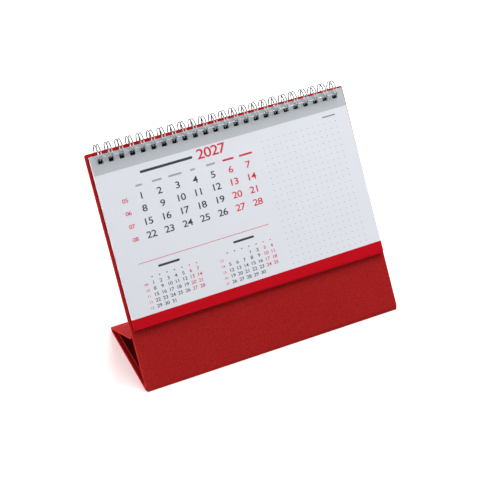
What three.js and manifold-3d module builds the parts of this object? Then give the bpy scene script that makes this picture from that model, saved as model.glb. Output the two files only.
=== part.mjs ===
// Desk calendar: a wire-bound block of month sheets on a folded, leather-wrapped easel stand.
// Millimetres, +Z up, +Y to the back, origin at the centre of the base's underside.
import * as THREE from "three";
import { mergeVertices } from "three/addons/utils/BufferGeometryUtils.js";
import Module from "manifold-3d";

const wasm = await Module();
wasm.setup();

// Stand
const leanAngle = 28; // front panel, degrees back from upright
const panelWidth = 215;
const frontLength = 186; // along the front panel, from the table to its top edge
const baseDepth = 87;
const propLength = 42.3; // along the front panel, from the table to the tuck fold
const flapLength = 18;
const flapSideInset = 2;
const flapSeatGap = 0.3;
const flapTravel = 45; // degrees that the flap folds further in as the rear panel opens
const rearFoldRise = 1; // rear hinge line above the middle of the panels that meet there
const cornerRadius = 1.8;

// Layers of a wrapped panel
const skinThickness = 0.35;
const glueGap = 0.1;
const boardThickness = 1.1;
const liningThickness = 0.25;
const liningInset = 4;
const turnInWidth = 14;
const foldClearance = 0.5;
const skinFoldGap = 0.2;
const creaseThickness = 0.3;
const creaseGap = 0.15;
const roundingSteps = 3;
const edgeFlatShare = 0.025; // of a plate's thickness, left flat between its two roundings
const leastCorner = 0.05;

// Block of sheets
const sheetCount = 12;
const sheetWidth = 210;
const sheetHeight = 134.4;
const sheetThickness = 0.16;
const sheetPitch = 0.26;
const blockSeatGap = 0.3;
const frontSheetTilt = 0.4; // degrees, left side lower; the sheets behind it hang straight
const blockShift = 0.25; // to the right of the panel's centre
const holeToEdge = 5; // hole centre below a sheet's top edge
const holeSlack = 0.45; // room below the wire, on which the sheets hang
const holePitch = 25.4 / 3;
const holeMargin = 6.5; // least distance from a hole centre to a sheet's side

// Twin-loop wire
const wireDiameter = 0.85;
const ringRadius = 6.3; // to the wire's centre line
const ringDrop = 0.8; // ring centre below the panel's top edge
const ringBackClearance = 2.75; // behind the wrapped panel
const legSpacing = 2.3;
const barAngle = 47; // on the ring, from straight down towards the front
const tipAngle = 54;
const bendRadius = 0.8;
const wireClearance = 0.28;
const holeSideClearance = 0.475;
const legSteps = 14;
const wireSides = 5;
const gapSpacing = 0.3; // between the points that the wire's gap to itself is measured at
const loopsMeasured = 4;

const radians = THREE.MathUtils.degToRad;
const wrappedThickness = 2 * (skinThickness + glueGap) + boardThickness;
const halfWrapped = wrappedThickness / 2;
const cutReach = 4 * wrappedThickness; // how far a cutting solid runs past what it cuts
const liningBack = halfWrapped + glueGap + liningThickness;
const wireRadius = wireDiameter / 2;

const frontFoldAngle = 90 - leanAngle;
const cornerToHinge = halfWrapped / Math.tan(radians(frontFoldAngle / 2));
const frontHinge = new THREE.Vector2(-baseDepth / 2 + cornerToHinge, halfWrapped);
const rearReach = halfWrapped + rearFoldRise;
const rearHinge = new THREE.Vector2(baseDepth / 2 - rearReach, rearReach);

// Tuck fold, in the front panel's own plane: along it, and behind its middle
const tuckAlong = propLength - cornerToHinge;
const tuckBehind = liningBack + flapSeatGap + halfWrapped;
const tuckHinge = new THREE.Vector2(tuckAlong, -tuckBehind)
  .rotateAround(new THREE.Vector2(), radians(frontFoldAngle))
  .add(frontHinge);
const rearSpan = rearHinge.clone().sub(tuckHinge);
const rearLength = Math.sqrt(rearSpan.lengthSq() - rearFoldRise * rearFoldRise);
const rearSpanAngle = 360 - THREE.MathUtils.radToDeg(rearSpan.angle());
const rearFoldAngle = rearSpanAngle - THREE.MathUtils.radToDeg(Math.asin(rearFoldRise / rearSpan.length()));
const tuckFoldAngle = 180 - frontFoldAngle - rearFoldAngle;

const frontTop = frontLength - cornerToHinge;
const ringFront = ringRadius - wireRadius - ringBackClearance - wrappedThickness;
const ringCentre = new THREE.Vector2(frontTop - ringDrop, halfWrapped + ringFront);

const holeCount = Math.floor((sheetWidth - 2 * holeMargin) / holePitch) + 1;
const holeRowHalf = ((holeCount - 1) * holePitch) / 2;
const tiltRise = holeRowHalf * Math.sin(radians(frontSheetTilt));

const materials = {
  leather: { color: 0xa42326, roughness: 0.6, metalness: 0 },
  lining: { color: 0x8a1f1f, roughness: 0.7, metalness: 0 },
  board: { color: 0x8c8478, roughness: 0.95, metalness: 0 },
  paper: { color: 0xdee0e8, roughness: 0.8, metalness: 0 },
  wire: { color: 0xd8dadc, roughness: 0.25, metalness: 1 },
};

function toSolid(geometry) {
  geometry.deleteAttribute("normal");
  geometry.deleteAttribute("uv");
  const merged = mergeVertices(geometry, 1e-4);
  return new wasm.Manifold(
    new wasm.Mesh({
      numProp: 3,
      vertProperties: new Float32Array(merged.attributes.position.array),
      triVerts: new Uint32Array(merged.index.array),
    }),
  );
}

function toGeometry(solid) {
  const mesh = solid.getMesh();
  const geometry = new THREE.BufferGeometry();
  geometry.setAttribute("position", new THREE.BufferAttribute(mesh.vertProperties, 3));
  geometry.setIndex(new THREE.BufferAttribute(mesh.triVerts, 1));
  const faceted = geometry.toNonIndexed();
  faceted.computeVertexNormals();
  return faceted;
}

function addMesh(group, name, geometry, material) {
  const mesh = new THREE.Mesh(geometry, new THREE.MeshStandardMaterial(materials[material]));
  mesh.name = name;
  group.add(mesh);
}

function rectangle(x0, y0, x1, y1, corners = [0, 0, 0, 0]) {
  const shape = new THREE.Shape();
  const [bottomLeft, bottomRight, topRight, topLeft] = corners;
  shape.moveTo(x0 + bottomLeft, y0);
  shape.lineTo(x1 - bottomRight, y0);
  if (bottomRight) shape.absarc(x1 - bottomRight, y0 + bottomRight, bottomRight, -Math.PI / 2, 0);
  shape.lineTo(x1, y1 - topRight);
  if (topRight) shape.absarc(x1 - topRight, y1 - topRight, topRight, 0, Math.PI / 2);
  shape.lineTo(x0 + topLeft, y1);
  if (topLeft) shape.absarc(x0 + topLeft, y1 - topLeft, topLeft, Math.PI / 2, Math.PI);
  shape.lineTo(x0, y0 + bottomLeft);
  if (bottomLeft) shape.absarc(x0 + bottomLeft, y0 + bottomLeft, bottomLeft, Math.PI, Math.PI * 1.5);
  return shape;
}

function slab(shape, z0, z1) {
  const geometry = new THREE.ExtrudeGeometry(shape, {
    depth: z1 - z0,
    bevelEnabled: false,
    curveSegments: roundingSteps,
  });
  geometry.translate(0, 0, z0);
  return geometry;
}

// A plate whose edges are fully round, measured over its rounding
function roundedPlate(x0, y0, x1, y1, thickness, radius) {
  const flat = thickness * edgeFlatShare;
  const edge = (thickness - flat) / 2;
  const corner = Math.max(radius - edge, leastCorner);
  const outline = rectangle(x0 + edge, y0 + edge, x1 - edge, y1 - edge, Array(4).fill(corner));
  const geometry = new THREE.ExtrudeGeometry(outline, {
    depth: flat,
    bevelEnabled: true,
    bevelThickness: edge,
    bevelSize: edge,
    bevelSegments: roundingSteps,
    curveSegments: roundingSteps,
  });
  geometry.translate(0, 0, -flat / 2);
  return geometry;
}

function setback(halfThickness, foldAngle) {
  return halfThickness / Math.tan(radians(foldAngle / 2)) + foldClearance;
}

// Where a board ends before a fold, also clear of the leather that bends round a raised one
function boardSetback(rise, foldAngle) {
  return Math.max(setback(halfWrapped - rise, foldAngle), halfWrapped + rise - skinThickness);
}

// Holes through the front panel, wide enough for the ring to turn in them
const legHalf = wireRadius + ringRadius * (1 - Math.cos(Math.PI / legSteps));
function ringDepth(radius, behind) {
  return ringDrop + Math.sqrt(radius * radius - behind * behind);
}
const panelHoleTop = ringDepth(ringRadius - legHalf, ringFront + wrappedThickness) - wireClearance;
const panelHoleBottom = ringDepth(ringRadius + wireRadius, ringFront) + wireClearance;
const holeWidth = legSpacing + wireDiameter + 2 * holeSideClearance;

function holeCutters(centreX, centreY, height, thickness) {
  const cutters = [];
  for (let index = 0; index < holeCount; index++) {
    const box = new THREE.BoxGeometry(holeWidth, height, thickness);
    box.translate(centreX + index * holePitch - holeRowHalf, centreY, 0);
    cutters.push(toSolid(box));
  }
  return wasm.Manifold.union(cutters);
}

// One wrapped panel. Its own frame runs along the strip: y from fold to fold, +z to the leather side.
// An end with a fold angle is open there, and the angle is the tightest that the fold comes to.
// An end without one is wrapped. A rise is how far that fold's hinge line lies inside the panel's middle.
function addPanel(group, prefix, panel) {
  const halfWidth = panel.width / 2;
  const y0 = panel.startFold ? skinFoldGap : 0;
  const y1 = panel.endFold ? panel.length - skinFoldGap : panel.length;
  const past0 = y0 - cutReach;
  const past1 = y1 + cutReach;
  const inset = skinThickness + glueGap;
  const startRise = panel.startRise ?? 0;
  const endRise = panel.endRise ?? 0;
  const board0 = panel.startFold ? boardSetback(startRise, panel.startFold) : inset;
  const board1 = panel.length - (panel.endFold ? boardSetback(endRise, panel.endFold) : inset);
  const holes = panel.holes;
  const bite = holes ? holeCutters(holes.x, holes.y, holes.height, cutReach) : null;
  const block = (low, high, half, z0, z1) => toSolid(slab(rectangle(-half, low, half, high), z0, z1));

  // A plate this far inside the wrapped panel's outside, running past the ends that have a fold
  const plate = (inward, thickness) => {
    const low = panel.startFold ? past0 : y0 + inward;
    const high = panel.endFold ? past1 : y1 - inward;
    const half = halfWidth - inward;
    return toSolid(roundedPlate(-half, low, half, high, thickness, cornerRadius - inward));
  };
  const hollow = plate(skinThickness, wrappedThickness - 2 * skinThickness);
  const window = block(
    panel.startFold ? past0 : y0 + turnInWidth,
    panel.endFold ? past1 : y1 - turnInWidth,
    halfWidth - turnInWidth,
    -wrappedThickness,
    0,
  );
  let cover = plate(0, wrappedThickness)
    .intersect(block(y0, y1, panel.width, -cutReach, cutReach))
    .subtract(hollow)
    .subtract(window);
  // The turned-in leather stops short of a fold, where only the outer skin goes on
  if (panel.startFold) cover = cover.subtract(block(past0, board0, panel.width, -wrappedThickness, 0));
  if (panel.endFold) cover = cover.subtract(block(board1, past1, panel.width, -wrappedThickness, 0));
  if (bite) cover = cover.subtract(bite);
  addMesh(group, prefix + "_cover", toGeometry(cover), "leather");

  let board = plate(inset, boardThickness).intersect(
    block(board0, board1, panel.width, -cutReach, cutReach),
  );
  if (bite) board = board.subtract(bite);
  addMesh(group, prefix + "_board", toGeometry(board), "board");

  const lining0 = panel.startFold ? setback(liningBack - startRise, panel.startFold) : liningInset;
  const lining1 = panel.endFold ? setback(liningBack - endRise, panel.endFold) : liningInset;
  const liningTop = holes ? holes.y - holes.height / 2 - foldClearance : panel.length - lining1;
  const sheet = rectangle(-halfWidth + liningInset, lining0, halfWidth - liningInset, liningTop);
  addMesh(group, prefix + "_lining", slab(sheet, -liningBack, -halfWrapped - glueGap), "lining");
}

// The strip of leather that bends round the fold where a panel starts, just inside the skins on both sides.
// Its tail lies along the panel, its arc turns about the fold's hinge line.
function addCrease(group, name, width, foldAngle, rise = 0) {
  const outerRadius = halfWrapped + rise - skinThickness - creaseGap;
  const innerRadius = outerRadius - creaseThickness;
  const tail = foldClearance - creaseGap;
  const sweep = Math.PI - radians(foldAngle);
  const shape = new THREE.Shape();
  shape.moveTo(tail, innerRadius);
  shape.lineTo(tail, outerRadius);
  shape.absarc(0, 0, outerRadius, Math.PI / 2, Math.PI / 2 + sweep, false);
  shape.absarc(0, 0, innerRadius, Math.PI / 2 + sweep, Math.PI / 2, true);
  const geometry = new THREE.ExtrudeGeometry(shape, {
    depth: width,
    bevelEnabled: false,
    curveSegments: 2 * roundingSteps,
  });
  geometry.translate(0, 0, -width / 2);
  const alongPanel = new THREE.Vector3(0, 1, 0);
  const outward = new THREE.Vector3(0, 0, 1);
  const acrossPanel = new THREE.Vector3(1, 0, 0);
  geometry.applyMatrix4(new THREE.Matrix4().makeBasis(alongPanel, outward, acrossPanel));
  geometry.translate(0, 0, -rise);
  addMesh(group, name, geometry, "leather");
}

function panelFrame(origin, angle) {
  const group = new THREE.Group();
  group.position.set(0, origin.x, origin.y);
  group.rotation.x = radians(angle);
  return group;
}

const calendar = new THREE.Group();
const front = panelFrame(frontHinge, frontFoldAngle);
const base = panelFrame(new THREE.Vector2(rearHinge.x, halfWrapped), 180);
const rear = panelFrame(tuckHinge, -rearFoldAngle);
const flapStart = new THREE.Vector2(-flapLength, 0)
  .rotateAround(new THREE.Vector2(), radians(frontFoldAngle))
  .add(tuckHinge);
const flap = panelFrame(flapStart, frontFoldAngle);
calendar.add(front, base, rear, flap);

addPanel(front, "front", {
  width: panelWidth,
  length: frontTop,
  startFold: frontFoldAngle,
  holes: {
    x: blockShift,
    y: frontTop - (panelHoleTop + panelHoleBottom) / 2,
    height: panelHoleBottom - panelHoleTop,
  },
});
addPanel(base, "base", {
  width: panelWidth,
  length: rearHinge.x - frontHinge.x,
  startFold: rearFoldAngle,
  startRise: rearFoldRise,
  endFold: frontFoldAngle,
});
addPanel(rear, "rear", {
  width: panelWidth,
  length: rearLength,
  startFold: tuckFoldAngle - flapTravel,
  endFold: rearFoldAngle,
  endRise: rearFoldRise,
});
addPanel(flap, "tuck", {
  width: panelWidth - 2 * flapSideInset,
  length: flapLength,
  endFold: tuckFoldAngle - flapTravel,
});

addCrease(front, "front_crease", panelWidth - 2 * wrappedThickness, frontFoldAngle);
addCrease(base, "rear_crease", panelWidth - 2 * wrappedThickness, rearFoldAngle, rearFoldRise);
addCrease(rear, "tuck_crease", panelWidth - 2 * (flapSideInset + wrappedThickness), tuckFoldAngle);

// Month sheets, the front one first. Its holes and the others' leave the same room round the wire.
const lastSheetMiddle = blockSeatGap + sheetThickness / 2;
const blockFront = lastSheetMiddle + (sheetCount - 1) * sheetPitch + sheetThickness / 2;
const legTop = ringDepth(ringRadius - legHalf, blockFront - ringFront);
const legBottom = ringDrop + ringRadius + wireRadius;
const sheetHoleTop = legTop - tiltRise - wireClearance;
const sheetHoleBottom = legBottom + tiltRise + wireClearance + holeSlack;
const sheetSolid = toSolid(
  slab(
    rectangle(-sheetWidth / 2, holeToEdge - sheetHeight, sheetWidth / 2, holeToEdge),
    -sheetThickness / 2,
    sheetThickness / 2,
  ),
).subtract(holeCutters(0, 0, sheetHoleBottom - sheetHoleTop, cutReach));

for (let index = 0; index < sheetCount; index++) {
  const place = new THREE.Group();
  const distance = lastSheetMiddle + (sheetCount - 1 - index) * sheetPitch;
  const drop = (sheetHoleTop + sheetHoleBottom) / 2 + (index ? tiltRise : 0);
  place.position.set(blockShift, frontTop - drop, halfWrapped + distance);
  place.rotation.z = index ? 0 : radians(frontSheetTilt);
  front.add(place);
  addMesh(place, "sheet_" + String(index + 1).padStart(2, "0"), toGeometry(sheetSolid), "paper");
}

// The wire's centre line: bars in front between the holes, each pair of legs down through a hole,
// up behind the panel, over its top and down again to a rounded tip above the hole.
function ringPoint(x, angle) {
  return new THREE.Vector3(
    x + blockShift,
    ringCentre.x - ringRadius * Math.cos(angle),
    ringCentre.y + ringRadius * Math.sin(angle),
  );
}

function wirePath() {
  const points = [];
  const half = legSpacing / 2;
  const bar = radians(barAngle);
  const legStart = bar - bendRadius / ringRadius;
  const turnCentre = radians(tipAngle) + half / ringRadius - 2 * Math.PI;
  for (let index = 0; index < holeCount; index++) {
    const x = index * holePitch - holeRowHalf;
    for (const t of [0, Math.PI / 4]) {
      const along = x - half - bendRadius * (1 - Math.sin(t));
      points.push(ringPoint(along, bar - (bendRadius / ringRadius) * (1 - Math.cos(t))));
    }
    for (let step = 0; step <= legSteps; step++) {
      points.push(ringPoint(x - half, THREE.MathUtils.lerp(legStart, turnCentre, step / legSteps)));
    }
    for (const t of [Math.PI / 4, Math.PI / 2, (3 * Math.PI) / 4]) {
      points.push(ringPoint(x - half * Math.cos(t), turnCentre - (half / ringRadius) * Math.sin(t)));
    }
    for (let step = 0; step <= legSteps; step++) {
      points.push(ringPoint(x + half, THREE.MathUtils.lerp(turnCentre, legStart, step / legSteps)));
    }
    for (const t of [Math.PI / 4, 0]) {
      const along = x + half + bendRadius * (1 - Math.sin(t));
      points.push(ringPoint(along, bar - (bendRadius / ringRadius) * (1 - Math.cos(t))));
    }
  }
  return points;
}

// A round tube along a chain of points, its section turned as little as possible from step to step
function sweepTube(points, radius, sides) {
  const count = points.length;
  const tangents = points.map((point, i) => {
    const next = points[Math.min(i + 1, count - 1)];
    const before = points[Math.max(i - 1, 0)];
    return next.clone().sub(before).normalize();
  });
  let normal = new THREE.Vector3(0, 1, 0);
  const vertices = [];
  const faces = [];
  points.forEach((point, i) => {
    normal = normal.clone().addScaledVector(tangents[i], -normal.dot(tangents[i])).normalize();
    const across = new THREE.Vector3().crossVectors(tangents[i], normal);
    for (let side = 0; side < sides; side++) {
      const turn = (2 * Math.PI * side) / sides;
      const vertex = point.clone().addScaledVector(normal, radius * Math.cos(turn));
      vertex.addScaledVector(across, radius * Math.sin(turn));
      vertices.push(vertex.x, vertex.y, vertex.z);
    }
    if (i === 0) return;
    for (let side = 0; side < sides; side++) {
      const a = (i - 1) * sides + side;
      const b = (i - 1) * sides + ((side + 1) % sides);
      faces.push(a, b, b + sides, a, b + sides, a + sides);
    }
  });
  for (let side = 1; side < sides - 1; side++) {
    faces.push(0, side + 1, side);
    const last = (count - 1) * sides;
    faces.push(last, last + side, last + side + 1);
  }
  const geometry = new THREE.BufferGeometry();
  geometry.setAttribute("position", new THREE.Float32BufferAttribute(vertices, 3));
  geometry.setIndex(faces);
  return geometry;
}

// Least gap of the wire to itself, from points on its centre line that lie well apart along the wire
function leastGap(points, diameter) {
  const samples = [];
  let travelled = 0;
  for (let i = 1; i < points.length; i++) {
    const length = points[i].distanceTo(points[i - 1]);
    const parts = Math.ceil(length / gapSpacing);
    for (let part = 0; part < parts; part++) {
      const point = points[i - 1].clone().lerp(points[i], part / parts);
      samples.push({ point, travelled: travelled + (length * part) / parts });
    }
    travelled += length;
  }
  const apart = Math.PI * diameter;
  const reach = 2 * holePitch * 2 * Math.PI * ringRadius;
  let least = Infinity;
  for (let i = 0; i < samples.length; i++) {
    for (let j = i + 1; j < samples.length && samples[j].travelled - samples[i].travelled < reach; j++) {
      if (samples[j].travelled - samples[i].travelled < apart) continue;
      least = Math.min(least, samples[i].point.distanceTo(samples[j].point));
    }
  }
  return least - diameter;
}

const path = wirePath();
const measured = path.slice(0, Math.round((loopsMeasured * path.length) / holeCount));
console.log("binding wire: least gap to itself " + leastGap(measured, wireDiameter).toFixed(2) + " mm");
addMesh(front, "binding_wire", sweepTube(path, wireRadius, wireSides), "wire");

export default calendar;
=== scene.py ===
# Desk calendar on a leather-wrapped easel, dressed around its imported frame. Metres, +Z up.
import math

import bmesh
import bpy
from mathutils import Matrix, Vector


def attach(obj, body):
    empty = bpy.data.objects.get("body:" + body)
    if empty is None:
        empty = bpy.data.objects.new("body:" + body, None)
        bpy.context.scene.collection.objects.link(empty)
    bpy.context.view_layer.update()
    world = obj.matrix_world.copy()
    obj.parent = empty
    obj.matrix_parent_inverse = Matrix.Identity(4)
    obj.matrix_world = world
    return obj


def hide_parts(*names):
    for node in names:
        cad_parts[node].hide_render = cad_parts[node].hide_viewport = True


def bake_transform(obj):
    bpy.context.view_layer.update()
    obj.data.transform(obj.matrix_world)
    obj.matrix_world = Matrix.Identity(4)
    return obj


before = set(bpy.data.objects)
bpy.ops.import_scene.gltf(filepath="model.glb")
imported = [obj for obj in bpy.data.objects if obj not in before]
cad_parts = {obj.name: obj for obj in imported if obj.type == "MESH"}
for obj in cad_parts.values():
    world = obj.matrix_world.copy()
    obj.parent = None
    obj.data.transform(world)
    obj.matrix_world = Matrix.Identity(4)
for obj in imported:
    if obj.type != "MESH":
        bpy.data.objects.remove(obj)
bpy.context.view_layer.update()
toMetres = Matrix.Scale(0.001, 4)
radians = math.radians

# ---- camera, at the photograph's viewing angle
view = {
    "place": (-0.30940, -0.81923, 0.67525),
    "heading": -21.3673,
    "pitch": 59.2341,
    "roll": -4.5020,
    "lens": 102.39,
    "sensorWidth": 36.0,
    "shift": (-0.0296, -0.1772),
}


def addCamera():
    camera = bpy.data.objects.new("camera", bpy.data.cameras.new("camera"))
    bpy.context.scene.collection.objects.link(camera)
    turned = Matrix.Rotation(radians(view["heading"]), 4, "Z")
    turned = turned @ Matrix.Rotation(radians(view["pitch"]), 4, "X")
    turned = turned @ Matrix.Rotation(radians(view["roll"]), 4, "Z")
    camera.matrix_world = Matrix.Translation(view["place"]) @ turned
    camera.data.lens = view["lens"]
    camera.data.sensor_width = view["sensorWidth"]
    camera.data.shift_x, camera.data.shift_y = view["shift"]
    camera.data.clip_start = 0.01
    bpy.context.scene.camera = camera


addCamera()
print("camera in place")


# ---- shader maths and node making
class Value:
    # A socket that can be used in an expression
    def __init__(self, finish, socket):
        self.finish = finish
        self.socket = socket

    def maths(self, operation, first, second):
        return self.finish.node("ShaderNodeMath", {"operation": operation}, {0: first, 1: second})

    def __add__(self, other):
        return self.maths("ADD", self, other)

    def __radd__(self, other):
        return self.maths("ADD", other, self)

    def __rsub__(self, other):
        return self.maths("SUBTRACT", other, self)

    def __mul__(self, other):
        return self.maths("MULTIPLY", self, other)

    def __rmul__(self, other):
        return self.maths("MULTIPLY", other, self)


def colour(red, green, blue):
    # Screen colour, 0 to 255, as the linear colour that a shader takes
    linear = []
    for part in (red, green, blue):
        share = part / 255
        linear.append(share / 12.92 if share <= 0.04045 else ((share + 0.055) / 1.055) ** 2.4)
    return (*linear, 1.0)


class Finish:
    # A material that is put together node by node, or the nodes of a tree that is there already
    def __init__(self, name, tree=None, **shaderValues):
        if tree:
            self.tree = tree
            return
        self.material = bpy.data.materials.new(name)
        self.material.use_nodes = True
        self.tree = self.material.node_tree
        self.tree.nodes.clear()
        self.output = self.tree.nodes.new("ShaderNodeOutputMaterial")
        self.shader = self.tree.nodes.new("ShaderNodeBsdfPrincipled")
        self.tree.links.new(self.shader.outputs[0], self.output.inputs["Surface"])
        for socket, value in shaderValues.items():
            self.shader.inputs[socket.replace("_", " ")].default_value = value

    def node(self, kind, settings=None, inputs=None, output=0):
        made = self.tree.nodes.new(kind)
        for setting, value in (settings or {}).items():
            if setting == "stops":
                ramp = made.color_ramp.elements
                while len(ramp) < len(value):
                    ramp.new(0.5)
                for element, (place, tone) in zip(ramp, value):
                    element.position = place
                    element.color = tone
            else:
                setattr(made, setting, value)
        for socket, value in (inputs or {}).items():
            self.put(made.inputs[socket], value)
        return Value(self, made.outputs[output])

    def put(self, socket, value):
        if isinstance(value, Value):
            self.tree.links.new(value.socket, socket)
        else:
            socket.default_value = value

    def mix(self, factor, first, second):
        settings = {"data_type": "RGBA", "clamp_factor": True}
        return self.node("ShaderNodeMix", settings, {0: factor, 6: first, 7: second}, 2)

    def smoothStep(self, value, low, high):
        settings = {"interpolation_type": "SMOOTHSTEP"}
        return self.node("ShaderNodeMapRange", settings, {0: value, 1: low, 2: high})

    def noise(self, where, scale, detail=2.0, roughness=0.5):
        inputs = {"Vector": where, "Scale": scale, "Detail": detail, "Roughness": roughness}
        return self.node("ShaderNodeTexNoise", None, inputs)

    def place(self):
        return self.node("ShaderNodeTexCoord", None, None, "Object")

    def seenDirectly(self):
        # One for what the camera sees, itself or in metal or glass
        rays = [self.node("ShaderNodeLightPath", None, None, f"Is {kind} Ray")
                for kind in ("Camera", "Glossy", "Transmission")]
        return rays[0] + rays[1] + rays[2]

    def bump(self, height, distance, strength=1.0):
        inputs = {"Height": height, "Distance": distance, "Strength": strength}
        self.put(self.shader.inputs["Normal"], self.node("ShaderNodeBump", None, inputs))

    def surface(self, **sockets):
        for socket, value in sockets.items():
            self.put(self.shader.inputs[socket.replace("_", " ")], value)
        return self.material


# ---- the stand, in mm. A panel's leather ends foldReach short of a fold, where the fold's own
# piece begins
stand = {
    "thickness": 2.0,
    "skin": 0.35,
    "roundness": 0.97,
    "corner": 1.8,
    "turnIn": 14.0,
    "edgeSteps": 6,
    "cornerSteps": 8,
    "foldReach": 2.6,
}
# Start (y, z), turn about X, length and half width, and the body and node of each panel. In a
# panel's own frame y runs along the strip of panels and +z is the leather side
panels = {
    "front": {"start": (-41.8357, 1.0), "angle": 62.0, "length": 184.3357, "half": 107.5,
              "open": (True, False), "body": "front_panel", "node": "front_cover"},
    "base": {"start": (41.5, 1.0), "angle": 180.0, "length": 83.3357, "half": 107.5,
             "open": (True, True), "body": "base", "node": "base_cover"},
    "rear": {"start": (-20.4186, 35.6351), "angle": -27.698, "length": 70.459, "half": 107.5,
             "open": (True, True), "body": "rear_panel", "node": "rear_cover"},
    "flap": {"start": (-28.8690, 19.7420), "angle": 62.0, "length": 18.0, "half": 105.5,
             "open": (False, True), "body": "tuck_flap", "node": "tuck_cover"},
}
# The holes in the front panel's leather: top and bottom are distances below its top edge, and
# shift is how far the block hangs to the right of the panel's middle
punch = {"pitch": 25.4 / 3, "count": 24, "shift": 0.25, "width": 4.2, "top": 5.0, "bottom": 9.8}


# ---- finishes
leatherLook = {
    "light": (186, 40, 40),
    "middle": (171, 35, 35),
    "dark": (140, 24, 25),
    "roughness": (0.50, 0.66),
    "specular": 0.008,
    "wanderScale": 420.0,
    "bendScale": 500.0,
    "bendDepth": 0.0006,
    "pebbleScale": 1250.0,
    "pebbleSmoothness": 0.35,
    "pebbleRandomness": 0.9,
    "pebbleDepth": 0.00007,
    "creaseFrom": (0.28, 0.75),
    "creaseShare": 0.55,
    "wanderShare": 0.22,
    "fineScale": 5200.0,
    "broadScale": 26.0,
}


def leatherFinish():
    finish = Finish("red leather", Specular_IOR_Level=leatherLook["specular"])
    where = finish.place()
    wander = finish.noise(where, leatherLook["wanderScale"])
    swirl = finish.node("ShaderNodeTexNoise", None,
                        {"Vector": where, "Scale": leatherLook["bendScale"]}, "Color")
    bent = finish.node("ShaderNodeVectorMath", {"operation": "MULTIPLY_ADD"},
                       {0: swirl, 1: (leatherLook["bendDepth"],) * 3, 2: where})
    cells = {
        "Vector": bent,
        "Scale": leatherLook["pebbleScale"],
        "Smoothness": leatherLook["pebbleSmoothness"],
        "Randomness": leatherLook["pebbleRandomness"],
    }
    pebbles = finish.node("ShaderNodeTexVoronoi", {"feature": "SMOOTH_F1"}, cells, "Distance")
    creases = finish.smoothStep(pebbles, *leatherLook["creaseFrom"])
    fine = finish.noise(where, leatherLook["fineScale"])
    broad = finish.noise(where, leatherLook["broadScale"], 3.0)
    tone = finish.mix(broad, colour(*leatherLook["light"]), colour(*leatherLook["middle"]))
    shade = creases * leatherLook["creaseShare"] + wander * leatherLook["wanderShare"]
    tone = finish.mix(shade, tone, colour(*leatherLook["dark"]))
    low, high = leatherLook["roughness"]
    finish.bump((1.0 - creases) * 0.8 + fine * 0.2, leatherLook["pebbleDepth"])
    rough = low + (high - low) * (creases * 0.6 + broad * 0.4)
    return finish.surface(Base_Color=tone, Roughness=rough)


liningLook = {
    "base": (146, 42, 43),
    "shade": (128, 35, 36),
    "roughness": 0.78,
    "fibreScale": (900.0, 260.0, 900.0),
    "fibreDepth": 0.00002,
    "blotchScale": 40.0,
}


def liningFinish():
    finish = Finish("red lining paper", Specular_IOR_Level=0.0, Roughness=liningLook["roughness"])
    where = finish.place()
    stretched = finish.node("ShaderNodeMapping", None,
                            {"Vector": where, "Scale": liningLook["fibreScale"]})
    fibres = finish.noise(stretched, 1.0, 3.0)
    blotch = finish.noise(where, liningLook["blotchScale"])
    base, shade = colour(*liningLook["base"]), colour(*liningLook["shade"])
    finish.bump(fibres, liningLook["fibreDepth"])
    return finish.surface(Base_Color=finish.mix(fibres * 0.6 + blotch * 0.4, base, shade))


# The board's grey is dark: partly its own colour, partly painted shade, so that the board seen in
# the holes reads as shade
boardLook = {
    "base": (58, 60, 60),
    "fleck": (42, 44, 45),
    "roughness": 0.92,
    "pulpScale": 1400.0,
    "layerScale": 260.0,
    "fleckFrom": (0.42, 0.66),
    "pulpDepth": 0.00005,
}


def boardFinish():
    finish = Finish("grey board", Specular_IOR_Level=0.2, Roughness=boardLook["roughness"])
    where = finish.place()
    pulp = finish.noise(where, boardLook["pulpScale"], 4.0, 0.7)
    layers = finish.noise(where, boardLook["layerScale"])
    flecks = finish.smoothStep(pulp * 0.7 + layers * 0.3, *boardLook["fleckFrom"])
    finish.bump(pulp, boardLook["pulpDepth"])
    base, fleck = colour(*boardLook["base"]), colour(*boardLook["fleck"])
    return finish.surface(Base_Color=finish.mix(flecks, base, fleck))


paperLook = {
    "base": (229, 229, 236),
    "shade": (223, 224, 231),
    "roughness": 0.62,
    "pulpScale": 2200.0,
    "cloudScale": 90.0,
    "depth": 0.000008,
}


def paperFinish():
    finish = Finish("coated paper", Specular_IOR_Level=0.15, Roughness=paperLook["roughness"])
    where = finish.place()
    pulp = finish.noise(where, paperLook["pulpScale"], 3.0, 0.65)
    cloud = finish.noise(where, paperLook["cloudScale"])
    finish.bump(pulp * 0.7 + cloud * 0.3, paperLook["depth"])
    base, shade = colour(*paperLook["base"]), colour(*paperLook["shade"])
    return finish.surface(Base_Color=finish.mix(pulp * 0.5 + cloud * 0.5, base, shade))


# Each ink where it lies full, and where it is thin
inkLook = {
    "header": ((192, 195, 200), (186, 189, 195)),
    "foot": ((196, 10, 28), (188, 8, 25)),
    "dark": ((58, 60, 64), (74, 76, 80)),
    "red": ((206, 40, 62), (214, 62, 82)),
    "soft": ((158, 160, 166), (170, 172, 178)),
    "pale": ((128, 133, 142), (144, 148, 156)),
}
inkFilm = {"specular": 0.06, "roughness": 0.55, "screenScale": 1500.0, "screenDepth": 0.000004}


def inkFinish(name):
    finish = Finish(name + " ink", Specular_IOR_Level=inkFilm["specular"],
                    Roughness=inkFilm["roughness"])
    screen = finish.noise(finish.place(), inkFilm["screenScale"])
    base, thin = inkLook[name]
    finish.bump(screen, inkFilm["screenDepth"])
    return finish.surface(Base_Color=finish.mix(screen, colour(*base), colour(*thin)))
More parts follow.
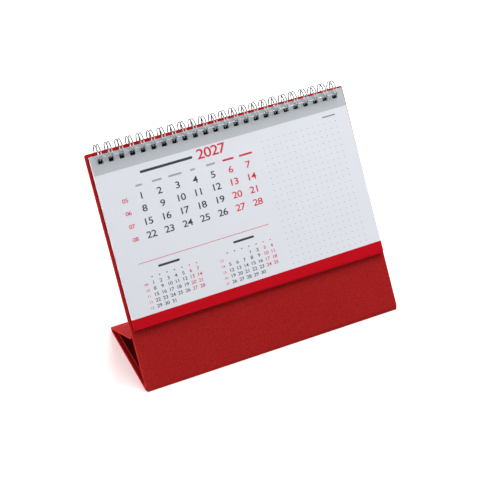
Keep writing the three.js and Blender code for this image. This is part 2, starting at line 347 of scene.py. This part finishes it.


# The wire's tone is set to read as in the photograph, with painted light: a mid tone over the
# sheets, a painted highlight over the panel's edge and a painted dark reflection at the top of each
# loop. The two From pairs are distances along the front panel's slope, in metres, where the painted
# highlight and the painted dark reflection set in
wireLook = {
    "bright": (206, 210, 212),
    "midTone": (112, 120, 124),
    "paintedDarkReflection": (54, 62, 65),
    "brightFrom": (0.1618, 0.1638),
    "paintedDarkFrom": (0.1642, 0.1672),
    "roughness": (0.16, 0.26),
    "drawnScale": 700.0,
    "drawnDepth": 0.000006,
    "patchScale": 120.0,
    "patchShare": 0.15,
}


def wireFinish():
    finish = Finish("bright wire", Metallic=1.0)
    where = finish.place()
    drawn = finish.noise(where, wireLook["drawnScale"], 3.0)
    patches = finish.noise(where, wireLook["patchScale"])
    low, high = wireLook["roughness"]
    finish.bump(drawn, wireLook["drawnDepth"])
    lean = radians(panels["front"]["angle"])
    along = finish.node("ShaderNodeVectorMath", {"operation": "DOT_PRODUCT"},
                        {0: where, 1: (0.0, math.cos(lean), math.sin(lean))}, "Value")
    share = wireLook["patchShare"]
    # Painted highlight: the wire is lighter over the panel's edge, with random patches mixed in
    bright = finish.smoothStep(along, *wireLook["brightFrom"]) * (1.0 - share) + patches * share
    tone = finish.mix(bright, colour(*wireLook["midTone"]), colour(*wireLook["bright"]))
    # Painted dark reflection: the top of each loop is painted darker
    paintedDarkReflection = finish.smoothStep(along, *wireLook["paintedDarkFrom"])
    tone = finish.mix(paintedDarkReflection, tone, colour(*wireLook["paintedDarkReflection"]))
    return finish.surface(Base_Color=tone, Roughness=low + (high - low) * drawn)


finishes = {
    "leather": leatherFinish(),
    "lining": liningFinish(),
    "board": boardFinish(),
    "paper": paperFinish(),
    "wire": wireFinish(),
}
inks = {name: inkFinish(name) for name in inkLook}
print("finishes made")


# ---- carried-over nodes
def coverNode(name, finish):
    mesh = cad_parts[name].data
    mesh.materials.clear()
    mesh.materials.append(finishes[finish])


for panel in ("front", "base", "rear", "tuck"):
    coverNode(panel + "_board", "board")
    coverNode(panel + "_lining", "lining")
for number in range(1, 13):
    coverNode(f"sheet_{number:02d}", "paper")


# ---- the stand's wrapped panels and the leather in their folds
def panelPlace(name):
    y, z = panels[name]["start"]
    turned = Matrix.Rotation(radians(panels[name]["angle"]), 4, "X")
    return toMetres @ Matrix.Translation((0, y, z)) @ turned


def newObject(name, mesh):
    made = bpy.data.objects.new(name, mesh)
    bpy.context.scene.collection.objects.link(made)
    return made


def meshFrom(name, bm):
    mesh = bpy.data.meshes.new(name)
    bm.to_mesh(mesh)
    bm.free()
    return mesh


def applyModifiers(made):
    bpy.context.view_layer.update()
    shaped = made.evaluated_get(bpy.context.evaluated_depsgraph_get())
    mesh = bpy.data.meshes.new_from_object(shaped)
    made.modifiers.clear()
    made.data = mesh


def smoothFaces(mesh, angle):
    mesh.shade_smooth()
    bm = bmesh.new()
    bm.from_mesh(mesh)
    for edge in bm.edges:
        if len(edge.link_faces) != 2 or edge.calc_face_angle(0.0) > radians(angle):
            edge.smooth = False
    bm.to_mesh(mesh)
    bm.free()


def box(bm, low, high):
    low, high = Vector(low), Vector(high)
    size = high - low
    shape = Matrix.Translation((low + high) / 2) @ Matrix.Diagonal((*size, 1.0))
    return bmesh.ops.create_cube(bm, size=1.0, matrix=shape)["verts"]


def holePlaces():
    # The middle of each hole along the row, from the middle of the block
    return [(index - (punch["count"] - 1) / 2) * punch["pitch"] for index in range(punch["count"])]


def punchCutter():
    bm = bmesh.new()
    top = panels["front"]["length"]
    for place in holePlaces():
        x = place + punch["shift"]
        low = (x - punch["width"] / 2, top - punch["bottom"], -4)
        high = (x + punch["width"] / 2, top - punch["top"], 4)
        box(bm, low, high)
    return newObject("punch", meshFrom("punch", bm))


def wrappedPanel(name):
    panel = panels[name]
    half, length = panel["half"], panel["length"]
    openStart, openEnd = panel["open"]
    low = stand["foldReach"] if openStart else 0.0
    high = length - stand["foldReach"] if openEnd else length
    z = stand["thickness"] / 2
    bm = bmesh.new()
    box(bm, (-half, low, -z), (half, high, z))

    def atOpenEnd(edge):
        y = (edge.verts[0].co.y + edge.verts[1].co.y) / 2
        return (openStart and abs(y - low) < 1e-4) or (openEnd and abs(y - high) < 1e-4)

    corners = [e for e in bm.edges
               if abs(e.verts[0].co.z - e.verts[1].co.z) > 1 and not atOpenEnd(e)]
    bmesh.ops.bevel(bm, geom=corners, offset=stand["corner"], segments=stand["cornerSteps"],
                    profile=0.5, affect="EDGES", material=-1)
    rims = [e for e in bm.edges
            if abs(e.verts[0].co.z - e.verts[1].co.z) < 1e-4 and not atOpenEnd(e)]
    bmesh.ops.bevel(bm, geom=rims, offset=stand["roundness"], segments=stand["edgeSteps"],
                    profile=0.5, affect="EDGES", material=-1)
    ends = [f for f in bm.faces if
            (openStart and all(abs(v.co.y - low) < 1e-3 for v in f.verts))
            or (openEnd and all(abs(v.co.y - high) < 1e-3 for v in f.verts))]
    bmesh.ops.delete(bm, geom=ends, context="FACES")
    # The window that the turned-in leather leaves open on the lining side
    inset = stand["turnIn"]
    cuts = [((half - inset, 0, 0), (1, 0, 0)), ((inset - half, 0, 0), (1, 0, 0))]
    if not openStart:
        cuts.append(((0, low + inset, 0), (0, 1, 0)))
    if not openEnd:
        cuts.append(((0, high - inset, 0), (0, 1, 0)))
    for point, normal in cuts:
        bmesh.ops.bisect_plane(bm, geom=bm.verts[:] + bm.edges[:] + bm.faces[:],
                               plane_co=point, plane_no=normal, dist=1e-5)
    window = []
    for face in bm.faces:
        middle = face.calc_center_median()
        inLength = (openStart or middle.y > low + inset) and (openEnd or middle.y < high - inset)
        if face.normal.z < -0.99 and abs(middle.x) < half - inset and inLength:
            window.append(face)
    bmesh.ops.delete(bm, geom=window, context="FACES")
    made = newObject(name + "Leather", meshFrom(name + "Leather", bm))
    skin = made.modifiers.new("skin", "SOLIDIFY")
    skin.thickness = stand["skin"]
    skin.offset = -1.0
    skin.use_even_offset = True
    if name == "front":
        cutter = punchCutter()
        holes = made.modifiers.new("holes", "BOOLEAN")
        holes.object = cutter
        holes.solver = "EXACT"
        applyModifiers(made)
        bpy.data.objects.remove(cutter)
    else:
        applyModifiers(made)
    made.data.transform(panelPlace(name))
    smoothFaces(made.data, 40)
    made.data.materials.clear()
    made.data.materials.append(finishes["leather"])
    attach(made, panel["body"])
    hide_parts(panel["node"])


for panel in panels:
    wrappedPanel(panel)
print("wrapped panels made")

# Painted shade: dark boxes in the board finish that stand in for the shade in the front panel's
# holes, which read as solid dark in the photograph. They partly fill the holes and stay clear of
# the two legs of the loop that passes through. Each box in mm: x from and to, distance below the
# panel's top edge from and to, z from and to
paintedShadeBoxes = (
    (-0.55, 0.55, 5.32, 7.70, -0.9, 0.8),
    (-2.04, -1.75, 5.32, 7.70, -0.9, 0.8),
    (1.75, 2.04, 5.32, 7.70, -0.9, 0.8),
    (-1.76, -0.54, 5.32, 6.10, 0.0, 0.8),
    (0.54, 1.76, 5.32, 6.10, 0.0, 0.8),
    (-1.76, -0.54, 7.35, 7.70, -0.9, 0.0),
    (0.54, 1.76, 7.35, 7.70, -0.9, 0.0),
)


def holeInsides():
    bm = bmesh.new()
    top = panels["front"]["length"]
    for place in holePlaces():
        x = place + punch["shift"]
        for x0, x1, y0, y1, z0, z1 in paintedShadeBoxes:
            box(bm, (x + x0, top - y1, z0), (x + x1, top - y0, z1))
    bmesh.ops.transform(bm, matrix=panelPlace("front"), verts=bm.verts[:])
    made = newObject("holeInsides", meshFrom("holeInsides", bm))
    # The boxes take the dark board finish as painted shade
    made.data.materials.append(finishes["board"])
    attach(made, "front_panel")


holeInsides()


# The cut edges of the base's lining, which catch the light inside the stand. They are drawn higher
# than the lining is thick, so that their line shows
edgeStrip = {"inner": 103.45, "outer": 103.8, "front": -37.0, "back": 37.5, "low": 1.9, "high": 2.9}


def liningEdges():
    bm = bmesh.new()
    for side in (-1, 1):
        low, high = sorted((side * edgeStrip["inner"], side * edgeStrip["outer"]))
        box(bm, (low, edgeStrip["front"], edgeStrip["low"]),
            (high, edgeStrip["back"], edgeStrip["high"]))
    bmesh.ops.transform(bm, matrix=toMetres, verts=bm.verts[:])
    made = newObject("liningEdges", meshFrom("liningEdges", bm))
    # Painted highlight: the strips take the lighter leather finish rather than the lining's, so
    # that they read as lit
    made.data.materials.append(finishes["leather"])
    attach(made, "base")


liningEdges()

# Each fold: its hinge (y, z), the panel that ends there and the one that starts there, and how far
# the leather draws in at its ends. skin is the leather's thickness in a fold and blendReach how
# far from the hinge it still bends
foldLook = {"skin": 0.55, "bevel": 0.2, "steps": 14, "blendReach": 1.2}
folds = {
    "frontFold": {"hinge": (-41.8357, 1.0), "radius": 1.0, "taper": 0.9, "half": 107.3,
                  "ends": "base", "starts": "front", "node": "front_crease"},
    "rearFold": {"hinge": (41.5, 2.0), "radius": 2.0, "taper": 0.2, "half": 107.3,
                 "ends": "rear", "starts": "base", "node": "rear_crease"},
    "flapFold": {"hinge": (-20.4186, 35.6351), "radius": 1.0, "taper": 0.2, "half": 105.3,
                 "ends": "flap", "starts": "rear", "node": "tuck_crease"},
}


def frameAt(angle):
    # The directions along a panel and out of its leather side
    along = Vector((0, math.cos(angle), math.sin(angle)))
    return along, Vector((0, -math.sin(angle), math.cos(angle)))


def foldLeather(name):
    fold = folds[name]
    before = radians(panels[fold["ends"]]["angle"])
    after = radians(panels[fold["starts"]]["angle"])
    hinge = Vector((0, *fold["hinge"]))
    bend = (after - before) % (2 * math.pi)
    if bend > math.pi:
        bend -= 2 * math.pi
    outer = fold["radius"]
    inner = outer - foldLook["skin"]
    reach = stand["foldReach"]
    outline = []
    along, out = frameAt(before)
    outline.append((hinge - along * reach, out))
    for step in range(foldLook["steps"] + 1):
        along, out = frameAt(before + bend * step / foldLook["steps"])
        outline.append((hinge.copy(), out))
    outline.append((hinge + along * reach, out))
    bm = bmesh.new()
    outside = [bm.verts.new(point + out * outer) for point, out in outline]
    inside = [bm.verts.new(point + out * inner) for point, out in outline]
    faces = [bm.faces.new((outside[i], outside[i + 1], inside[i + 1], inside[i]))
             for i in range(len(outline) - 1)]
    made = bmesh.ops.extrude_face_region(bm, geom=faces)
    pulled = [v for v in made["geom"] if isinstance(v, bmesh.types.BMVert)]
    bmesh.ops.translate(bm, verts=pulled, vec=(2 * fold["half"], 0, 0))
    bmesh.ops.translate(bm, verts=bm.verts[:], vec=(-fold["half"], 0, 0))
    # The bent leather draws in a little at both ends of the fold
    narrowed = (fold["half"] - fold["taper"]) / fold["half"]
    bent = [v for v in bm.verts if (v.co.yz - hinge.yz).length < outer + 0.01]
    bmesh.ops.scale(bm, vec=(narrowed, 1, 1), verts=bent)
    bmesh.ops.recalc_face_normals(bm, faces=bm.faces[:])
    sides = [e for e in bm.edges if len(e.link_faces) == 2 and e.calc_face_angle(0) > radians(60)
             and abs(e.verts[0].co.x - e.verts[1].co.x) < 1e-4 and abs(e.verts[0].co.x) > 1]
    bmesh.ops.bevel(bm, geom=sides, offset=foldLook["bevel"], segments=3, profile=0.5,
                    affect="EDGES", material=-1)
    bmesh.ops.transform(bm, matrix=toMetres, verts=bm.verts[:])
    piece = newObject(name + "Leather", meshFrom(name + "Leather", bm))
    smoothFaces(piece.data, 40)
    piece.data.materials.append(finishes["leather"])
    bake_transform(piece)
    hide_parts(fold["node"])


for fold in folds:
    foldLeather(fold)
print("fold leather made")

# ---- the twin-loop wire, one length of round wire. centre is in the front panel's own frame
wire = {
    "diameter": 0.94,
    "ringRadius": 6.3,
    "centre": (183.5357, 2.125),
    "legSpacing": 2.3,
    "barAngle": 47.0,
    "tipAngle": 54.0,
    "bendRadius": 0.8,
    "legSteps": 28,
    "bendSteps": 4,
    "tipSteps": 8,
}


def ringPoint(x, angle):
    radius = wire["ringRadius"]
    y, z = wire["centre"]
    return Vector((x + punch["shift"], y - radius * math.cos(angle), z + radius * math.sin(angle)))


def wirePoints():
    points = []
    half, radius, bend = wire["legSpacing"] / 2, wire["ringRadius"], wire["bendRadius"]
    bar = radians(wire["barAngle"])
    legStart = bar - bend / radius
    tip = radians(wire["tipAngle"]) + half / radius - 2 * math.pi
    turns = [math.pi / 2 * step / wire["bendSteps"] for step in range(wire["bendSteps"])]
    for x in holePlaces():
        for t in turns:
            points.append(ringPoint(x - half - bend * (1 - math.sin(t)),
                                    bar - bend / radius * (1 - math.cos(t))))
        for step in range(wire["legSteps"] + 1):
            share = step / wire["legSteps"]
            points.append(ringPoint(x - half, legStart + (tip - legStart) * share))
        for step in range(1, wire["tipSteps"]):
            t = math.pi * step / wire["tipSteps"]
            points.append(ringPoint(x - half * math.cos(t), tip - half / radius * math.sin(t)))
        for step in range(wire["legSteps"] + 1):
            share = step / wire["legSteps"]
            points.append(ringPoint(x + half, tip + (legStart - tip) * share))
        for t in reversed(turns):
            points.append(ringPoint(x + half + bend * (1 - math.sin(t)),
                                    bar - bend / radius * (1 - math.cos(t))))
    return points


def bindingWire():
    points = wirePoints()
    curve = bpy.data.curves.new("bindingWire", "CURVE")
    curve.dimensions = "3D"
    curve.bevel_depth = wire["diameter"] / 2
    curve.bevel_resolution = 3
    curve.use_fill_caps = True
    spline = curve.splines.new("POLY")
    spline.points.add(len(points) - 1)
    for place, point in zip(spline.points, points):
        place.co = (*point, 1.0)
    drawn = newObject("wireCurve", curve)
    bpy.context.view_layer.update()
    shaped = drawn.evaluated_get(bpy.context.evaluated_depsgraph_get())
    mesh = bpy.data.meshes.new_from_object(shaped)
    mesh.transform(panelPlace("front"))
    bpy.data.objects.remove(drawn)
    made = newObject("bindingWire", mesh)
    smoothFaces(mesh, 60)
    mesh.materials.clear()
    mesh.materials.append(finishes["wire"])
    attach(made, "wire")
    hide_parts("binding_wire")


bindingWire()
print("wire made")

# ---- what is printed on the sheets
sheets = {
    "count": 12,
    "width": 210.0,
    "height": 134.4,
    "thickness": 0.16,
    "pitch": 0.26,
    "lastMiddle": 0.38,
    "holeDrop": 7.0269,
    "hang": 0.6798,
    "holeToEdge": 5.0,
    "holeWidth": 4.1,
    "holeHeight": 3.8156,
    "tilt": 0.4,
}
# Places are in mm from a sheet's top left corner. Bars are x from and to, then y from and to, or
# y and height. The ink stands rise above the paper and reaches sink into it. numeralStep is the
# distance from one numeral to the next, in widths of a zero
layout = {
    "rise": 0.02,
    "sink": 0.01,
    "numeralOffset": 0.011,
    "numeralStep": 1.1704,
    "widening": 1.18,
    "barRound": 0.49,
    "header": 14.6,
    "holeMargin": 0.02,
    "foot": 126.2,
    "titleBar": (34.4, 76.9, 19.6, 21.6),
    "year": (92.6, 19.9, 7.9),
    "years": ("2027", "2028"),
    "columns": (31.0, 45.5, 60.2, 74.6, 89.4, 104.1, 118.7),
    "labelRow": 29.75,
    "labelWidths": (5.4, 8.0, 11.0, 4.0, 7.6, 9.4, 11.2),
    "labelHeight": 1.5,
    "rows": (37.75, 47.6, 57.75, 67.85, 77.7, 86.7),
    "dateHeight": 5.3,
    "weekColumn": 17.85,
    "weekHeight": 3.2,
    "weekDrop": 0.12,
    "rule": (15.0, 122.3, 86.79, 87.21),
    "miniLeft": 22.5,
    "miniRight": 84.2,
    "miniPitch": 6.05,
    "miniTitle": (6.7, 24.2, 92.6, 1.7),
    "miniLabel": (0.55, 98.9, 0.9),
    "miniRows": (103.35, 107.85, 112.45, 116.95, 121.5, 125.5),
    "miniHeight": 2.7,
    "miniWeek": (-5.9, 1.9),
    "dots": (134.0, 197.9, 24.0, 122.3, 14, 21, 0.33),
    "noteBar": (187.5, 198.8, 18.6, 19.6),
}


def sheetPlace(number):
    distance = sheets["lastMiddle"] + (sheets["count"] - number) * sheets["pitch"]
    # The first sheet sits a little turned on the wire, the others hang straight and lower
    drop = sheets["holeDrop"] + (sheets["hang"] if number > 1 else 0)
    tilt = sheets["tilt"] if number == 1 else 0
    place = Matrix.Translation((punch["shift"], panels["front"]["length"] - drop, 1.0 + distance))
    return panelPlace("front") @ place @ Matrix.Rotation(radians(tilt), 4, "Z")


def glyph(character):
    # A numeral as a closed solid, one unit deep
    text = bpy.data.curves.new("numeral", "FONT")
    text.body = character
    text.extrude = 0.5
    text.resolution_u = 3
    text.offset = layout["numeralOffset"]
    drawn = newObject("numeral", text)
    bpy.context.view_layer.update()
    shaped = drawn.evaluated_get(bpy.context.evaluated_depsgraph_get())
    mesh = bpy.data.meshes.new_from_object(shaped)
    bpy.data.objects.remove(drawn)
    return mesh


numerals = {character: glyph(character) for character in "0123456789"}
eightHeights = [vertex.co.y for vertex in numerals["8"].vertices]
numeralLow, numeralHigh = min(eightHeights), max(eightHeights)
numeralSize = numeralHigh - numeralLow
zeroWidths = [vertex.co.x for vertex in numerals["0"].vertices]
numeralStep = layout["numeralStep"] * (max(zeroWidths) - min(zeroWidths))
filmMiddle = sheets["thickness"] / 2 + (layout["rise"] - layout["sink"]) / 2
filmDepth = layout["rise"] + layout["sink"]
inkOrder = list(inkLook)


def onSheet(x, y):
    return x - sheets["width"] / 2, sheets["holeToEdge"] - y


def inkFaces(fresh, ink):
    for face in {f for v in fresh for f in v.link_faces}:
        face.material_index = inkOrder.index(ink)


def addNumber(bm, text, x, y, height, ink):
    # x, y is the middle of the number
    scale = height / numeralSize
    width = numeralStep * scale
    for index, character in enumerate(text):
        known = set(bm.verts)
        bm.from_mesh(numerals[character])
        fresh = [v for v in bm.verts if v not in known]
        centre = (min(v.co.x for v in fresh) + max(v.co.x for v in fresh)) / 2
        px, py = onSheet(x + (index - (len(text) - 1) / 2) * width, y)
        shape = Matrix.Translation((px, py, filmMiddle))
        shape = shape @ Matrix.Diagonal((scale * layout["widening"], scale, filmDepth, 1))
        shape = shape @ Matrix.Translation((-centre, -(numeralLow + numeralHigh) / 2, 0))
        bmesh.ops.transform(bm, matrix=shape, verts=fresh)
        inkFaces(fresh, ink)


def addBar(bm, x0, x1, y0, y1, ink):
    left, top = onSheet(x0, y0)
    right, bottom = onSheet(x1, y1)
    z0, z1 = filmMiddle - filmDepth / 2, filmMiddle + filmDepth / 2
    fresh = box(bm, (left, bottom, z0), (right, top, z1))
    inkFaces(fresh, ink)
    return fresh


def roundBar(bm, x0, x1, y, height, ink):
    fresh = addBar(bm, x0, x1, y - height / 2, y + height / 2, ink)
    upright = {e for v in fresh for e in v.link_edges
               if abs(e.verts[0].co.z - e.verts[1].co.z) > filmDepth / 2}
    bmesh.ops.bevel(bm, geom=list(upright), offset=height * layout["barRound"], segments=4,
                    profile=0.5, affect="EDGES", material=-1)


def addHeader(bm):
    # The grey band, cut round the row of holes
    half, margin = sheets["holeHeight"] / 2, layout["holeMargin"]
    rowTop, rowBottom = sheets["holeToEdge"] - half, sheets["holeToEdge"] + half
    addBar(bm, 0, sheets["width"], 0, rowTop - margin, "header")
    addBar(bm, 0, sheets["width"], rowBottom + margin, layout["header"], "header")
    edges = [0.0]
    for place in holePlaces():
        x = sheets["width"] / 2 + place
        edges += [x - sheets["holeWidth"] / 2 - margin, x + sheets["holeWidth"] / 2 + margin]
    edges.append(sheets["width"])
    for left, right in zip(edges[::2], edges[1::2]):
        addBar(bm, left, right, rowTop - margin, rowBottom + margin, "header")


def addFoot(bm):
    # The red band runs off the sheet, so its ink also shows on the cut edges
    reach = layout["sink"]
    right, bottom = sheets["width"] + reach, sheets["height"] + reach
    fresh = addBar(bm, -reach, right, layout["foot"], bottom, "foot")
    for vertex in fresh:
        if vertex.co.z < filmMiddle:
            vertex.co.z = -sheets["thickness"] / 2 - reach


def addDots(bm):
    x0, x1, y0, y1, across, down, radius = layout["dots"]
    stepX, stepY = (x1 - x0) / (across - 1), (y1 - y0) / (down - 1)
    for column in range(across):
        for row in range(down):
            x, y = onSheet(x0 + stepX * column, y0 + stepY * row)
            place = Matrix.Translation((x, y, filmMiddle))
            fresh = bmesh.ops.create_cone(bm, cap_ends=True, segments=8, radius1=radius,
                                          radius2=radius, depth=filmDepth, matrix=place)["verts"]
            inkFaces(fresh, "pale")


def addMonth(bm, month, columns, rows, height, weekX, weekHeight):
    for day in range(1, monthDays[month] + 1):
        row, column = divmod(monthStart[month] + day - 1, 7)
        addNumber(bm, str(day), columns[column], rows[row], height, "red" if column > 4 else "dark")
    for row in range((monthStart[month] + monthDays[month] - 1) // 7 + 1):
        week = (monthWeek[month] + row - 1) % 53 + 1
        y = rows[row] + height * layout["weekDrop"]
        addNumber(bm, f"{week:02d}", weekX, y, weekHeight, "red")


# The sheets' months in turn and the two after them: how many days each has, the weekday column
# that it starts in and the number of its first week
monthDays = (28, 31, 30, 31, 30, 31, 31, 30, 31, 30, 31, 31, 29, 31)
monthStart, monthWeek = [0], [5]
for days in monthDays[:-1]:
    total = monthStart[-1] + days
    monthStart.append(total % 7)
    monthWeek.append((monthWeek[-1] + total // 7 - 1) % 52 + 1)


def printSheet(number):
    bm = bmesh.new()
    addHeader(bm)
    addFoot(bm)
    x0, x1, y0, y1 = layout["titleBar"]
    roundBar(bm, x0, x1, (y0 + y1) / 2, y1 - y0, "dark")
    x, y, height = layout["year"]
    addNumber(bm, layout["years"][number // 12], x, y, height, "red")
    for column, (x, width) in enumerate(zip(layout["columns"], layout["labelWidths"])):
        roundBar(bm, x - width / 2, x + width / 2, layout["labelRow"], layout["labelHeight"],
                 "red" if column > 4 else "soft")
    index = number - 1
    addMonth(bm, index, layout["columns"], layout["rows"], layout["dateHeight"],
             layout["weekColumn"], layout["weekHeight"])
    if monthStart[index] + monthDays[index] <= 35:
        addBar(bm, *layout["rule"], "red")
    for step, left in ((1, layout["miniLeft"]), (2, layout["miniRight"])):
        x0, x1, y, height = layout["miniTitle"]
        roundBar(bm, left + x0, left + x1, y, height, "dark")
        columns = [left + column * layout["miniPitch"] for column in range(7)]
        half, y, height = layout["miniLabel"]
        for column, x in enumerate(columns):
            roundBar(bm, x - half, x + half, y, height, "red" if column > 4 else "dark")
        weekOffset, weekHeight = layout["miniWeek"]
        addMonth(bm, index + step, columns, layout["miniRows"], layout["miniHeight"],
                 left + weekOffset, weekHeight)
    addDots(bm)
    x0, x1, y0, y1 = layout["noteBar"]
    roundBar(bm, x0, x1, (y0 + y1) / 2, y1 - y0, "pale")
    bmesh.ops.transform(bm, matrix=sheetPlace(number), verts=bm.verts[:])
    name = f"print_{number:02d}"
    made = newObject(name, meshFrom(name, bm))
    for ink in inkOrder:
        made.data.materials.append(inks[ink])
    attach(made, f"page_{number:02d}")


for number in range(1, sheets["count"] + 1):
    if number == 1 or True:
        printSheet(number)
print("sheets printed")

# ---- floor, light and world
# The lift near the object is painted pink, a painted red bounce light that also tints the object's
# shadow, and farLift is the even white past it; both are what the camera sees added to the floor,
# and farFloor is where one goes over into the other, in metres
studio = {
    "world": 0.25,
    "floor": (190, 199, 199),
    "paintedPinkBounce": (0.68, 0.49, 0.49, 1.0),
    "farLift": (1.0, 1.0, 1.0, 1.0),
    "farFloor": (0.20, 0.45),
    "lamps": {
        "key": {"place": (0.4, -0.08, 1.5), "aim": (0, 0, 0.05), "size": 1.3, "power": 29.0},
        "back": {"place": (0.85, 1.1, 0.8), "aim": (0, 0, 0.05), "size": 0.8, "power": 27.0},
        "left": {"place": (-1.6, 0.0, 0.06), "aim": (0, 0, 0.10), "size": 0.16, "power": 30.0},
    },
}


def addLamps():
    for name, lamp in studio["lamps"].items():
        light = bpy.data.lights.new(name, "AREA")
        light.shape = "DISK"
        light.size = lamp["size"]
        light.energy = lamp["power"]
        made = newObject(name, light)
        place = Vector(lamp["place"])
        heading = (Vector(lamp["aim"]) - place).to_track_quat("-Z", "Y")
        made.matrix_world = Matrix.Translation(place) @ heading.to_matrix().to_4x4()


def addFloor():
    bm = bmesh.new()
    bmesh.ops.create_grid(bm, x_segments=1, y_segments=1, size=6.0)
    made = newObject("floor", meshFrom("floor", bm))
    finish = Finish("white floor", Roughness=0.7, Specular_IOR_Level=0.1)
    seen = finish.seenDirectly()
    finish.surface(Base_Color=colour(*studio["floor"]))
    distance = finish.node("ShaderNodeVectorMath", {"operation": "LENGTH"},
                           {0: finish.place()}, "Value")
    far = finish.smoothStep(distance, *studio["farFloor"])
    # Painted red bounce light: the floor that the camera sees is lifted pink near the object
    tone = finish.mix(far, studio["paintedPinkBounce"], studio["farLift"])
    lift = finish.node("ShaderNodeEmission", None, {"Color": tone, "Strength": seen})
    plain = Value(finish, finish.shader.outputs[0])
    both = finish.node("ShaderNodeAddShader", None, {0: plain, 1: lift})
    finish.put(finish.output.inputs["Surface"], both)
    made.data.materials.append(finish.material)


def addWorld():
    world = bpy.data.worlds.new("studio")
    bpy.context.scene.world = world
    world.use_nodes = True
    finish = Finish("studio", tree=world.node_tree)
    background = world.node_tree.nodes["Background"]
    background.inputs["Color"].default_value = (1.0, 1.0, 1.0, 1.0)
    strength = finish.seenDirectly() * (1.0 - studio["world"]) + studio["world"]
    finish.put(background.inputs["Strength"], strength)


addLamps()
addFloor()
addWorld()
bpy.context.scene.view_settings.view_transform = "Standard"
print("studio set")
